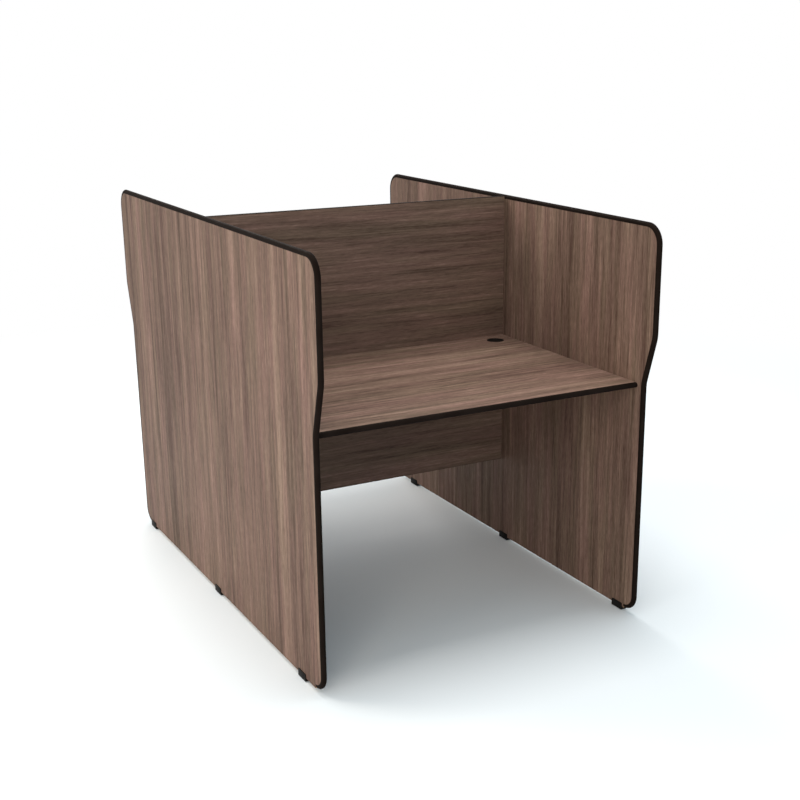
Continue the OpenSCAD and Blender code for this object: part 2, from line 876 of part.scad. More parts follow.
module cam_bolts() {
  color(zinc) {
    at_left_joints(desk_cam_y, divider_cam_z) cam_bolt();
    turned() at_left_joints(desk_cam_y, divider_cam_z) cam_bolt();
  }
}

// Bolts with a head at each end that pass through the divider and pull both desks
// against it
module through_bolts() {
  color(zinc)
    for (x = through_cam_x)
      translate([x, 0, joint_z]) {
        for (side = [0, 180])
          rotate([0, 0, side]) translate([0, -divider_y, 0]) rotate([90, 0, 0])
            bolt_reach();
        translate([0, divider_y + overlap, 0]) rotate([90, 0, 0])
          cylinder(d = bolt_d, h = divider_t + 2 * overlap);
      }
}

module dowel_x() {
  rod_x([dowel_deep, 0, 0], dowel_d, dowel_deep + dowel_grip);
}

module desk_dowels() {
  color(beech) {
    at_left_joints(desk_dowel_y, []) dowel_x();
    turned() at_left_joints(desk_dowel_y, []) dowel_x();
  }
}

module divider_dowels() {
  color(beech) {
    at_left_joints([], divider_dowel_z) dowel_x();
    turned() at_left_joints([], divider_dowel_z) dowel_x();
  }
}

module through_dowels() {
  color(beech)
    for (s = [-1, 1])
      translate([s * through_dowel_x, divider_y + dowel_deep, joint_z]) rotate([90, 0, 0])
        cylinder(d = dowel_d, h = divider_t + 2 * dowel_deep);
}

// Flat caps pressed over the divider's cams
module divider_cam_covers() {
  color(plastic_black)
    for (side = [-1, 1])
      for (z = divider_cam_z)
        translate([side * (inner_x - cam_inset), divider_y + cover_t, z])
          rotate([90, 0, 0]) cylinder(d = cover_d, h = cover_t);
}

left_side_board();
right_side_board();
left_edge_profile();
right_edge_profile();
divider_board();
divider_top_tape();
divider_bottom_tape();
front_desk_board();
back_desk_board();
front_desk_profile();
back_desk_profile();
front_grommet_liner();
back_grommet_liner();
front_grommet_cap();
back_grommet_cap();
front_grommet_flap();
back_grommet_flap();
left_front_shoe();
left_middle_shoe();
left_back_shoe();
right_front_shoe();
right_middle_shoe();
right_back_shoe();
left_front_leveller();
left_middle_leveller();
left_back_leveller();
right_front_leveller();
right_middle_leveller();
right_back_leveller();
leveller_nuts();
shoe_screws();
front_desk_cams();
back_desk_cams();
divider_cams();
cam_bolts();
through_bolts();
desk_dowels();
divider_dowels();
through_dowels();
divider_cam_covers();
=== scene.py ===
# %% [markdown]
# # A double-sided call station, dressed for the camera
#
# The station is made of grey-brown melamine boards with black edges. Two side panels with a
# slanted waist carry a screen and two desks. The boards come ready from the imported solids,
# and this file gives them their finish. It also models what the solids keep plain: the
# rounded edge profiles, the shoes and their threaded levelling screws, the grommets and the
# fittings under the desks.
#
# Everything is in metres. The origin is on the floor at the centre of the footprint, the
# front desk is towards -Y and Z is up.

# %% Load the fixed frame
import json
import math
import bmesh
import bpy
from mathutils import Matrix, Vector


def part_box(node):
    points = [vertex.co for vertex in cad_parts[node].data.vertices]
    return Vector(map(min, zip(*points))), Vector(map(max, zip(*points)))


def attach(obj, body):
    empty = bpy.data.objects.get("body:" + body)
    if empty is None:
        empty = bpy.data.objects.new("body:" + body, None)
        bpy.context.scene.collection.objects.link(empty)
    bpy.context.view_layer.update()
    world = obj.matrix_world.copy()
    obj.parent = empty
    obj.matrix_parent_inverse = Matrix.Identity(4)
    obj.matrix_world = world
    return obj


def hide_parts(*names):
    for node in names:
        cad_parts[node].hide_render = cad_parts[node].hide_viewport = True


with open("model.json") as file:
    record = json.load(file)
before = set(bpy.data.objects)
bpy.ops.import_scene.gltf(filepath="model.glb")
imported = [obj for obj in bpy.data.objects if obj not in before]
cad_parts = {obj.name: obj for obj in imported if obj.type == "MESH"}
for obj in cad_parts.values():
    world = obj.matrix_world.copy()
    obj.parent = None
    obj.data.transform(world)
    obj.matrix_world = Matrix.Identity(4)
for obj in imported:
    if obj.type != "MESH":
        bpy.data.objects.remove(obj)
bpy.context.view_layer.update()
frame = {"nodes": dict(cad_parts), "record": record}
MM = 0.001


def in_mm(sizes):
    """Metres as millimetres, rounded for printing."""
    return [round(size / MM, 1) for size in sizes]


print("nodes in the frame:", len(frame["nodes"]))

# %% [markdown]
# ## Colours and shader nodes
#
# A finish in Blender is a tree of nodes. It could be wired by hand in the shader editor, but
# written down it can be repeated with another colour or size. Colours are written as the hex
# values that a screen shows. Blender mixes light in linear values, so one function turns
# them over. Another adds any node, sets it and links it, and every finish below is built
# with it.

# %% One function for colours and one for nodes


def linear(hex_colour):
    """Turn an sRGB hex colour into the linear values that a shader takes."""
    channels = [int(hex_colour[i : i + 2], 16) / 255 for i in (1, 3, 5)]
    return [
        c / 12.92 if c <= 0.04045 else ((c + 0.055) / 1.055) ** 2.4 for c in channels
    ] + [1.0]


def add(tree, kind, sockets=None, stops=None, **settings):
    """Add one node, set it and link it.

    sockets maps a socket's name or number to an output, a value or a hex colour. stops are
    the (position, hex colour) pairs of a colour ramp.
    """
    made = tree.nodes.new("ShaderNode" + kind)
    for name, value in settings.items():
        setattr(made, name, value)
    for socket, value in (sockets or {}).items():
        if isinstance(value, bpy.types.NodeSocket):
            tree.links.new(value, made.inputs[socket])
        elif isinstance(value, str):
            made.inputs[socket].default_value = linear(value)
        else:
            made.inputs[socket].default_value = value
    if stops:
        ramp = made.color_ramp.elements
        ramp[0].position, ramp[0].color = stops[0][0], linear(stops[0][1])
        ramp[1].position, ramp[1].color = stops[-1][0], linear(stops[-1][1])
        for position, colour in stops[1:-1]:
            ramp.new(position).color = linear(colour)
    return made


def new_material(name):
    """A material with an empty Principled shader. Returns the material, tree and shader."""
    material = bpy.data.materials.new(name)
    material.use_nodes = True
    tree = material.node_tree
    return material, tree, tree.nodes["Principled BSDF"]


# %% [markdown]
# ## Melamine-faced particleboard
#
# The boards are pressed wood chips under a sheet of decor paper that is soaked in melamine
# resin. The paper is printed with a straight-grained grey-brown wood, so there is no relief
# apart from a faint pore that the press plate leaves. The grain runs up the side panels and
# along the desks and the screen.
#
# A real veneer could be done with growth rings cut by a plane. This print has no rings to
# speak of, only long streaks, so stretched noise is nearer to it: each layer is noise on
# Object coordinates, divided by a real size across the grain and a much longer one along it.

# %% Noise that is long along the grain

# Through a board the pattern changes every 12 mm, so its two faces differ.
THROUGH_MM = 12


def stretched(tree, source, axes, along_mm, across_mm, detail, seed):
    """Noise that is long along the grain.

    axes are the grain's axis, the one across it and the one through the board.
    """
    scale = [0.0, 0.0, 0.0]
    for axis, size in zip(axes, (along_mm, across_mm, THROUGH_MM)):
        scale[axis] = 1 / (size * MM)
    place = add(
        tree,
        "VectorMath",
        {0: source, 1: scale, 2: (seed, seed * 1.7, seed * 0.6)},
        operation="MULTIPLY_ADD",
    )
    return add(
        tree,
        "TexNoise",
        {"Vector": place.outputs[0], "Scale": 1.0, "Detail": detail},
    )


# %% [markdown]
# The print is built as it meets the eye. Broad bands come first, then streaks, then fine
# lines, then short fibres and pores. A ramp of four browns turns their sum into colour, and
# a slow drift from pinkish brown to olive grey goes over it. One noise with much detail
# would be shorter to write, but its bands and its lines couldn't be set apart.

# %% The printed paper

WOOD_TONES = [(0.25, "#50403a"), (0.43, "#695951"), (0.57, "#77645c"), (0.75, "#907b72")]
PINK = "#fbebe5"
OLIVE = "#f5f0e1"
FIBRE = "#4a3b33"
# Each pattern has its length and width in mm and its detail, and most have a fixed seed.
WANDER = (380, 110, 2.0, 7.3)
WARMTH = (400, 40, 1.0)
FIBRES = (45, 3.0, 4.0, 71.9)
# A pore on the paper is about 0.2 mm wide. It is drawn at 0.5 mm, so that it shows.
PORES = (10, 0.5, 1.0, 133.7)
# Fibres and pores begin to show at one level of their noise and are dark at another.
FIBRES_SHOW = (0.54, 0.72)
PORES_SHOW = (0.56, 0.68)
DARKEN = 0.4
# Noise stays near its middle, so the warmth is widened about it.
WIDEN = 2.6


def printed_wood(tree, coords, axes, wander, contrast, cut_from):
    """The print's colour, with its fibres as noise and its pores as a mask.

    wander is how far the lines stray, in mm, and contrast how strong the print is. cut_from
    picks the part of the printed roll: one number each for the bands, streaks and warmth.
    """
    band_seed, streak_seed, warmth_seed = cut_from

    # The lines wander a little, all alike, so the coordinates are bent before the streaks.
    bend = stretched(tree, coords, axes, *WANDER).outputs["Color"]
    sideways = [0.0, 0.0, 0.0]
    sideways[axes[1]] = wander * MM
    bent = add(
        tree,
        "VectorMath",
        {0: bend, 1: sideways, 2: coords},
        operation="MULTIPLY_ADD",
    ).outputs[0]

    # Each layer has its length and width in mm, its detail, its seed and its share.
    layers = (
        (2600, 140, 1.0, band_seed, 0.4),
        (1100, 42, 1.0, streak_seed, 0.55),
        (380, 14, 1.0, 23.9, 0.52),
        (130, 4.5, 2.0, 37.1, 0.65),
        (22, 2.6, 1.0, 91.3, 0.4),
    )
    tone = 0.5
    for along_mm, across_mm, detail, seed, share in layers:
        noise = stretched(tree, bent, axes, along_mm, across_mm, detail, seed)
        weight = share * contrast
        shifted = add(
            tree,
            "Math",
            {0: noise.outputs["Fac"], 1: weight, 2: -weight / 2},
            operation="MULTIPLY_ADD",
        ).outputs[0]
        tone = add(tree, "Math", {0: tone, 1: shifted}, operation="ADD").outputs[0]
    colour = add(tree, "ValToRGB", {"Fac": tone}, stops=WOOD_TONES).outputs["Color"]

    # Across a panel the print turns from a pinkish brown to an olive grey and back.
    warmth = stretched(tree, bent, axes, *WARMTH, warmth_seed).outputs["Fac"]
    turned = add(
        tree,
        "Math",
        {0: warmth, 1: WIDEN, 2: (1 - WIDEN) / 2},
        operation="MULTIPLY_ADD",
    ).outputs[0]
    tint = add(tree, "Mix", {0: turned, 6: PINK, 7: OLIVE}, data_type="RGBA").outputs[2]
    colour = add(
        tree,
        "Mix",
        {0: 1.0, 6: colour, 7: tint},
        data_type="RGBA",
        blend_type="MULTIPLY",
    ).outputs[2]

    # Dark fibres lie over the streaks, and pores over the fibres. The last mask is theirs.
    fibres = stretched(tree, bent, axes, *FIBRES).outputs["Fac"]
    fine = stretched(tree, bent, axes, *PORES).outputs["Fac"]
    for noise, (start, full) in ((fibres, FIBRES_SHOW), (fine, PORES_SHOW)):
        mask = add(
            tree,
            "MapRange",
            {0: noise, 1: start, 2: full},
            interpolation_type="SMOOTHSTEP",
        ).outputs[0]
        strength = add(
            tree, "Math", {0: mask, 1: DARKEN * contrast}, operation="MULTIPLY"
        ).outputs[0]
        colour = add(
            tree, "Mix", {0: strength, 6: colour, 7: FIBRE}, data_type="RGBA"
        ).outputs[2]
    return colour, fibres, mask


# %% [markdown]
# Where a board is cut or drilled, the pale chips of its core show. The two faces lie half a
# board from its middle, so anything nearer to the middle than that is a cut edge. A second
# material on the edge faces could do this too, but the solids' meshes are left as they are,
# and one material that knows how deep it is needs no faces picked.
#
# Melamine is a clear, hard resin with the usual IOR of 1.5. It is pressed against a matt
# plate here, and the photograph shows hardly any shine, so the specular level is low.

# %% The whole board, print and core

BOARD_T = 15 * MM
FACE_SKIN = 0.3 * MM
CHIP_MM = 2.2
CORE_TONES = [(0.0, "#83664a"), (0.5, "#a98662"), (1.0, "#c1a07c")]


def melamine(name, axes, middle_at, wander, contrast, cut_from):
    """middle_at is how far the board's middle plane lies from the origin, along axes[2]."""
    material, tree, shader = new_material(name)
    coords = add(tree, "TexCoord").outputs["Object"]
    face, fibres, pores = printed_wood(tree, coords, axes, wander, contrast, cut_from)

    chips = add(
        tree, "TexVoronoi", {"Vector": coords, "Scale": 1 / (CHIP_MM * MM)}
    ).outputs["Color"]
    chip_tone = add(tree, "SeparateColor", {0: chips}).outputs[0]
    core = add(tree, "ValToRGB", {"Fac": chip_tone}, stops=CORE_TONES).outputs["Color"]

    place = add(tree, "SeparateXYZ", {0: coords}).outputs[axes[2]]
    off_middle = add(tree, "Math", {0: place}, operation="ABSOLUTE").outputs[0]
    is_core = add(
        tree,
        "Math",
        {0: off_middle, 1: middle_at, 2: BOARD_T / 2 - FACE_SKIN},
        operation="COMPARE",
    ).outputs[0]
    board = add(tree, "Mix", {0: is_core, 6: face, 7: core}, data_type="RGBA")
    tree.links.new(board.outputs[2], shader.inputs["Base Color"])

    pressed = add(
        tree,
        "Bump",
        {"Height": pores, "Strength": 0.2, "Distance": 0.05 * MM},
        invert=True,
    )
    tree.links.new(pressed.outputs[0], shader.inputs["Normal"])
    rough = add(tree, "Math", {0: fibres, 1: 0.2, 2: 0.5}, operation="MULTIPLY_ADD")
    tree.links.new(rough.outputs[0], shader.inputs["Roughness"])
    shader.inputs["IOR"].default_value = 1.5
    shader.inputs["Specular IOR Level"].default_value = 0.08
    return material


# %% Finish the five boards


def centre_of(node):
    """The centre of a solid's box."""
    low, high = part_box(node)
    return (low + high) / 2


def dress(node, material):
    """Give a solid its finish and leave its mesh alone."""
    slots = frame["nodes"][node].data.materials
    slots.clear()
    slots.append(material)


X, Y, Z = 0, 1, 2
panel_x = centre_of("left_side_board").x
desk_middle = centre_of("front_desk_board").z
panel_wood = melamine(
    "melamine_panel", (Z, Y, X), abs(panel_x), 4, 0.95, (3.1, 11.7, 57.0)
)
desk_wood = melamine(
    "melamine_desk", (X, Y, Z), desk_middle, 8, 1.1, (42.7, 22.9, 49.4)
)
screen_wood = melamine("melamine_screen", (X, Z, Y), 0.0, 8, 0.75, (52.1, 2.2, 20.3))
for side in ("left", "right"):
    dress(side + "_side_board", panel_wood)
for side in ("front", "back"):
    dress(side + "_desk_board", desk_wood)
dress("divider_board", screen_wood)
for wood in (panel_wood, desk_wood, screen_wood):
    print(wood.name, "has", len(wood.node_tree.nodes), "nodes")

# %% [markdown]
# ## PVC and ABS
#
# The edge profile and tape are extruded PVC: black and satin, with faint lines that the die
# leaves. The shoes and grommets are injection-moulded ABS with a spark-eroded texture, which
# scatters the highlight a little more. The colour of a black plastic hardly changes, so both
# get their life from roughness and a fine bump, and from soft patches of 60 mm, as handling
# leaves them.
#
# The die's lines and the mould's texture are both about a tenth of a millimetre. They are
# drawn coarser, as an unevenness of 0.9 and 0.5 mm, so that they show.
#
# Both plastics have an IOR near 1.53. The photograph's blacks show almost no shine, least of
# all the profile, so the specular level is turned far down.

# %% Soft patches of colour and roughness

HANDLED = 6  # levels of 255


def lighter(hex_colour):
    """The same colour, a little lighter, as dust and handling leave it."""
    return "#" + "".join(
        "%02x" % min(255, int(hex_colour[i : i + 2], 16) + HANDLED) for i in (1, 3, 5)
    )


def mottle(tree, shader, patch_mm, colour, light_at, rough_from, rough_by):
    """Let colour and roughness drift a little in patches. Returns the coordinates.

    light_at is the level of the noise at which the colour is lightest.
    """
    coords = add(tree, "TexCoord").outputs["Object"]
    cloud = add(
        tree,
        "TexNoise",
        {"Vector": coords, "Scale": 1 / (patch_mm * MM), "Detail": 4.0},
    ).outputs["Fac"]
    base = add(
        tree,
        "ValToRGB",
        {"Fac": cloud},
        stops=[(0.3, colour), (light_at, lighter(colour))],
    )
    rough = add(
        tree, "Math", {0: cloud, 1: rough_by, 2: rough_from}, operation="MULTIPLY_ADD"
    )
    tree.links.new(base.outputs["Color"], shader.inputs["Base Color"])
    tree.links.new(rough.outputs[0], shader.inputs["Roughness"])
    return coords


# %% Black plastics

PATCH_MM = 60


def black_plastic(name, colour, rough_from, texture_mm, bump, gloss):
    """A moulded or extruded black, with its texture's size and the strength of its bump."""
    material, tree, shader = new_material(name)
    coords = mottle(tree, shader, PATCH_MM, colour, 0.7, rough_from, 0.16)
    texture = add(
        tree,
        "TexNoise",
        {"Vector": coords, "Scale": 1 / (texture_mm * MM), "Detail": 3.0},
    ).outputs["Fac"]
    relief = add(
        tree, "Bump", {"Height": texture, "Strength": bump, "Distance": 0.1 * MM}
    )
    tree.links.new(relief.outputs[0], shader.inputs["Normal"])
    shader.inputs["IOR"].default_value = 1.53
    shader.inputs["Specular IOR Level"].default_value = gloss
    return material


pvc_profile = black_plastic("pvc_edge_profile", "#16100d", 0.42, 0.9, 0.12, 0.008)
abs_moulded = black_plastic("abs_moulded", "#0c0a09", 0.47, 0.5, 0.3, 0.08)
print("plastics:", pvc_profile.name, abs_moulded.name)

# %% [markdown]
# ## Zinc and beech
#
# Cam discs are die-cast zinc, dull and a little cloudy from the mould, in patches of a
# millimetre or two. Screws, bolts and nuts are zinc-plated steel, brighter and smoother. The
# dowels are beech, sanded and unsealed, with flecks about a millimetre wide. They hide in
# the boards, but the discs show under the desks and the screw heads under the shoes.
#
# Brushed metal would need lines along one way. These pieces are cast, rolled or plated and
# have none, so soft patches of roughness are enough.

# %% Metals


def metal(name, colour, rough_from, patch_mm):
    """A plain metal that is a little cloudy. It keeps the default IOR."""
    material, tree, shader = new_material(name)
    mottle(tree, shader, patch_mm, colour, 0.75, rough_from, 0.25)
    shader.inputs["Metallic"].default_value = 1.0
    return material


zinc_cast = metal("die_cast_zinc", "#a6a9ac", 0.3, 1.5)
zinc_plated = metal("zinc_plated_steel", "#b9bdc2", 0.18, 4.0)
print("metals:", zinc_cast.name, zinc_plated.name)

# %% Beech

FLECK_MM = 1.2
beech, beech_tree, beech_shader = new_material("beech_dowel")
beech_coords = add(beech_tree, "TexCoord").outputs["Object"]
beech_flecks = add(
    beech_tree,
    "TexNoise",
    {"Vector": beech_coords, "Scale": 1 / (FLECK_MM * MM), "Detail": 3.0},
).outputs["Fac"]
beech_colour = add(
    beech_tree,
    "ValToRGB",
    {"Fac": beech_flecks},
    stops=[(0.3, "#b98f5c"), (0.7, "#d2ad7c")],
)
beech_tree.links.new(beech_colour.outputs["Color"], beech_shader.inputs["Base Color"])
beech_shader.inputs["Roughness"].default_value = 0.75
print("wood:", beech.name)

# %% Finish the other solids

FINISHES = {
    "beech": beech,
    "zinc": zinc_plated,
    "black_profile": pvc_profile,
    "black_moulding": abs_moulded,
}
dressed = []
for part in frame["record"]["subparts"]:
    if part["material_slot"] in FINISHES:
        dress(part["node"], FINISHES[part["material_slot"]])
        dressed.append(part["node"])
print("profiles, mouldings and fittings with a finish:", len(dressed))

# %% [markdown]
# ## How the pieces are modelled
#
# The pieces below are made with the same operators that the menus call: add a primitive,
# extrude, scale, bevel. Lists of points could be typed in instead, but then a change of one
# size would mean typing them all again. An operator works on everything that is selected, so
# each piece starts from an empty selection, and faces or edges are picked by where they lie.

# %% Select and pick


def start_fresh():
    """Leave edit mode and deselect everything, so the next operator touches one piece."""
    if bpy.context.object and bpy.context.object.mode != "OBJECT":
        bpy.ops.object.mode_set(mode="OBJECT")
    bpy.ops.object.select_all(action="DESELECT")


def make_active(piece):
    """Select this piece alone."""
    start_fresh()
    piece.select_set(True)
    bpy.context.view_layer.objects.active = piece


def edit(piece):
    """Open this piece, and no other, in edit mode."""
    make_active(piece)
    bpy.ops.object.mode_set(mode="EDIT")


def pick(kind, test):
    """In edit mode, select only the verts, edges or faces that pass the test."""
    bpy.ops.mesh.select_mode(type=kind)
    bpy.ops.mesh.select_all(action="DESELECT")
    mesh = bmesh.from_edit_mesh(bpy.context.object.data)
    parts = {"VERT": mesh.verts, "EDGE": mesh.edges, "FACE": mesh.faces}[kind]
    for part in parts:
        if test(part):
            part.select_set(True)
    bmesh.update_edit_mesh(bpy.context.object.data)


def settle(piece):
    """Move the object's place, turn and size into its mesh, so it sits at the origin."""
    make_active(piece)
    bpy.ops.object.transform_apply(location=True, rotation=True, scale=True)
    return piece


# %% [markdown]
# Each new piece stands in for one solid and hides it. It could be parented by hand, but one
# function does it the same way for all. The piece is parented to an empty named for the body
# that its solid belongs to. Its faces are shaded smooth, apart from those that meet at a
# clear angle, which keeps round noses round and edges crisp without more faces.

# %% Finish a piece

SMOOTH_UP_TO = math.radians(35)


def finish_piece(piece, name, body, material, node):
    """Name a piece, smooth it, give it its finish, tie it to its body and hide its solid."""
    piece.name = name
    make_active(piece)
    bpy.ops.object.shade_smooth_by_angle(angle=SMOOTH_UP_TO)
    piece.data.materials.clear()
    piece.data.materials.append(material)
    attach(piece, body)
    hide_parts(node)
    bpy.context.view_layer.update()
    faces = len(piece.data.polygons)
    print(name, "spans", in_mm(piece.dimensions), "mm with", faces, "faces")


# %% [markdown]
# ## The edge profile of the side panels
#
# A black profile is pressed into a groove all round the front, top and back of each panel,
# and round the bottom corners, where it stops. It is as thick as the board: two short flat
# flanks and a half-round nose. Only that part shows, so that is what is modelled.
#
# The section could be swept along a curve. Extruding it by hand instead keeps the rings
# where the bends start and end: run up the straight, spin round the bend, and so on to the
# middle of the top edge. A mirror makes the other half.

# %% The outline that the profile follows

board_low, board_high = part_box("left_side_board")
NOSE_R = BOARD_T / 2
# The real flanks are 5 mm deep. The solid's nose is a little flattened by its facets, and
# the flanks here are shorter by as much, so that the rounder nose stays inside its box.
NOSE_FLANK = 4.97 * MM
BULGE = NOSE_FLANK + NOSE_R
# Corners and reach are those of the finished edge. The board's own are less by the bulge.
CORNER_TOP = 60 * MM - BULGE
CORNER_LOW = 50 * MM - BULGE
EDGE_LOW_Y = 781 * MM - BULGE
EDGE_TOP_Y = board_high.y
WAIST_R = 91 * MM
WAIST_LOW_Z = 743 * MM
WAIST_HIGH_Z = 887 * MM
ROOF_Z = board_high.z
SOLE_Z = board_low.z + BULGE
SLANT = math.atan2(EDGE_TOP_Y - EDGE_LOW_Y, WAIST_HIGH_Z - WAIST_LOW_Z)
# How far a bend of the waist reaches along the straights that it joins.
BEND = WAIST_R * math.tan(SLANT / 2)
print("the waist slants by", round(math.degrees(SLANT), 1), "degrees")

# %% The section: a circle, halved, with its flanks drawn out

# A slip this small still counts as lying on a plane.
HAIR = 0.01 * MM


def round_nose(seat, outward, side):
    """The section as a ring of edges, on a seat point on the board's edge."""
    start_fresh()
    centre = seat + outward * NOSE_FLANK
    bpy.ops.mesh.primitive_circle_add(vertices=48, radius=NOSE_R, location=centre)
    piece = bpy.context.object
    piece.rotation_euler = side.cross(outward).to_track_quat("Z", "Y").to_euler()
    settle(piece)
    edit(piece)
    pick("VERT", lambda v: (v.co - centre).dot(outward) < -HAIR)
    bpy.ops.mesh.delete(type="VERT")
    pick("VERT", lambda v: abs((v.co - centre).dot(outward)) < HAIR)
    bpy.ops.mesh.extrude_region_move(
        TRANSFORM_OT_translate={"value": -NOSE_FLANK * outward}
    )
    pick("VERT", lambda v: abs((v.co - seat).dot(outward)) < HAIR)
    bpy.ops.mesh.edge_face_add()
    bpy.ops.mesh.select_all(action="SELECT")
    return piece


def close_end(is_end):
    """Cap the open end where the walk began, and turn all faces outward."""
    pick("VERT", is_end)
    bpy.ops.mesh.edge_face_add()
    bpy.ops.mesh.select_all(action="SELECT")
    bpy.ops.mesh.normals_make_consistent(inside=False)
    start_fresh()


# %% Walk the section round half a panel


def run(way):
    """Extrude what is selected along a straight."""
    bpy.ops.mesh.extrude_region_move(TRANSFORM_OT_translate={"value": way})


def turn(centre_y, centre_z, angle, steps):
    """Spin the selected ring about an axis along X, by the right-hand rule."""
    bpy.ops.mesh.spin(
        steps=steps,
        angle=-angle,
        center=(panel_x, centre_y, centre_z),
        axis=(1, 0, 0),
    )


sole = Vector((panel_x, -(EDGE_LOW_Y - CORNER_LOW), SOLE_Z))
slant_way = Vector((0, -math.sin(SLANT), math.cos(SLANT)))
slant_len = (WAIST_HIGH_Z - WAIST_LOW_Z) / math.cos(SLANT) - 2 * BEND
profile = round_nose(sole, Vector((0, 0, -1)), Vector((1, 0, 0)))
turn(sole.y, SOLE_Z + CORNER_LOW, -math.pi / 2, 14)
run((0, 0, WAIST_LOW_Z - BEND - SOLE_Z - CORNER_LOW))
turn(-EDGE_LOW_Y - WAIST_R, WAIST_LOW_Z - BEND, SLANT, 8)
run(slant_way * slant_len)
turn(-EDGE_TOP_Y + WAIST_R, WAIST_HIGH_Z + BEND, -SLANT, 8)
run((0, 0, ROOF_Z - CORNER_TOP - WAIST_HIGH_Z - BEND))
turn(-EDGE_TOP_Y + CORNER_TOP, ROOF_Z - CORNER_TOP, -math.pi / 2, 20)
run((0, EDGE_TOP_Y - CORNER_TOP, 0))
close_end(lambda v: abs(v.co.y - sole.y) < HAIR and v.co.z < SOLE_Z + 0.1 * MM)
print("the slanted straight is", round(slant_len / MM, 1), "mm long")

# %% Mirror it, and copy it to the other panel


def modify(piece, kind, **settings):
    """Add a modifier, set it and apply it, as one step."""
    make_active(piece)
    modifier = piece.modifiers.new(kind.title(), kind)
    for name, value in settings.items():
        setattr(modifier, name, value)
    bpy.ops.object.modifier_apply(modifier=modifier.name)


def copy_to(piece, name, shift, half_turn=False):
    """A copy with its own mesh, moved and, if asked, turned half a turn about Z."""
    make_active(piece)
    bpy.ops.object.duplicate()
    twin = bpy.context.object
    twin.name = name
    if half_turn:
        twin.rotation_euler = (0, 0, math.pi)
    twin.location = shift
    return settle(twin)


modify(profile, "MIRROR", use_axis=(False, True, False), merge_threshold=0.0001)
twin_profile = copy_to(profile, "right_profile", (-2 * panel_x, 0, 0))
for side, piece in (("left", profile), ("right", twin_profile)):
    finish_piece(
        piece,
        side + "_profile",
        "station",
        pvc_profile,
        side + "_edge_profile",
    )

# %% [markdown]
# ## The desks' front profile
#
# Each desk has the same round nose on the edge that the forearms lean on, cut to length
# between the two side panels. A rounded block would look alike from afar. The same section,
# run along one straight, also gives the flat flanks and meets the panels' profile with the
# same curve.

# %% Extrude the straight profiles

for side in ("front", "back"):
    low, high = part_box(side + "_desk_board")
    outward = Vector((0, -1 if side == "front" else 1, 0))
    edge_y = low.y if side == "front" else high.y
    start = Vector((low.x, edge_y, desk_middle))
    strip = round_nose(start, outward, Vector((0, 0, 1)))
    run((high.x - low.x, 0, 0))
    bpy.ops.mesh.edge_face_add()
    close_end(lambda v: abs(v.co.x - low.x) < HAIR)
    finish_piece(
        strip,
        side + "_desk_edge",
        "station",
        pvc_profile,
        side + "_desk_profile",
    )

# %% [markdown]
# ## The divider's tapes
#
# Flat PVC tape is glued to the screen's top and bottom edges and trimmed with a small
# chamfer, which catches the light as a thin line. A Bevel modifier would also cut the ends,
# which are hidden against the panels, so only the two long outer edges are picked and
# bevelled.

# %% Chamfer the tapes


def middle(part):
    """The centre of an edge or a face."""
    return sum((v.co for v in part.verts), Vector()) / len(part.verts)


def block(low, high):
    """A box between two corners."""
    start_fresh()
    low, high = Vector(low), Vector(high)
    bpy.ops.mesh.primitive_cube_add(size=1, location=(low + high) / 2)
    bpy.context.object.scale = high - low
    return settle(bpy.context.object)


CHAMFER = 0.5 * MM
for node in ("divider_top_tape", "divider_bottom_tape"):
    low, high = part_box(node)
    tape = block(low, high)
    outer_z = high.z if node == "divider_top_tape" else low.z
    edit(tape)
    pick(
        "EDGE",
        lambda e: abs(middle(e).z - outer_z) < HAIR
        and abs(middle(e).y) > high.y - CHAMFER
        and abs(middle(e).x) < high.x / 2,
    )
    bpy.ops.mesh.bevel(offset=CHAMFER, segments=2, affect="EDGES")
    start_fresh()
    finish_piece(tape, node + "_trim", "station", pvc_profile, node)

# %% [markdown]
# ## The shoes
#
# Each shoe is one moulding that clasps the panel's bottom edge: a thick sole with two
# cheeks. Three joined blocks would leave walls inside it. Here the sole is one box. Two
# bisects mark where the cheeks stand, the outer strips are extruded up, and the cheeks'
# upper corners are bevelled round.

# %% A sole with two cheeks

FLOOR_GAP = board_low.z
CHEEK_CORNER = 4 * MM
shoe_low, shoe_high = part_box("left_front_shoe")
shoe_at = (shoe_low + shoe_high) / 2
shoe = block(shoe_low, (shoe_high.x, shoe_high.y, FLOOR_GAP))
edit(shoe)
for off in (-BOARD_T / 2, BOARD_T / 2):
    bpy.ops.mesh.select_all(action="SELECT")
    bpy.ops.mesh.bisect(plane_co=(shoe_at.x + off, 0, 0), plane_no=(1, 0, 0))
pick(
    "FACE",
    lambda f: f.normal.z > 0.9 and abs(middle(f).x - shoe_at.x) > BOARD_T / 2,
)
run((0, 0, shoe_high.z - FLOOR_GAP))
pick(
    "EDGE",
    lambda e: abs(e.verts[0].co.x - e.verts[1].co.x) > MM
    and middle(e).z > shoe_high.z - HAIR,
)
bpy.ops.mesh.bevel(offset=CHEEK_CORNER, segments=6, affect="EDGES")
bpy.ops.mesh.select_all(action="SELECT")
bpy.ops.mesh.normals_make_consistent(inside=False)
start_fresh()
print("the cheeks stand", round((shoe_high.z - FLOOR_GAP) / MM, 1), "mm up the panel")

# %% [markdown]
# The levelling screw's pad draws up into a pocket in the sole, and two screws have their
# seats there. Round pieces, and round cutters such as these, are modelled the way a potter
# would raise them: a circle is extruded ring by ring, and each new ring is scaled to its
# radius. One list of radius and height describes the whole section, which is shorter and
# more exact than stacking cylinders.

# %% Raise a round piece ring by ring


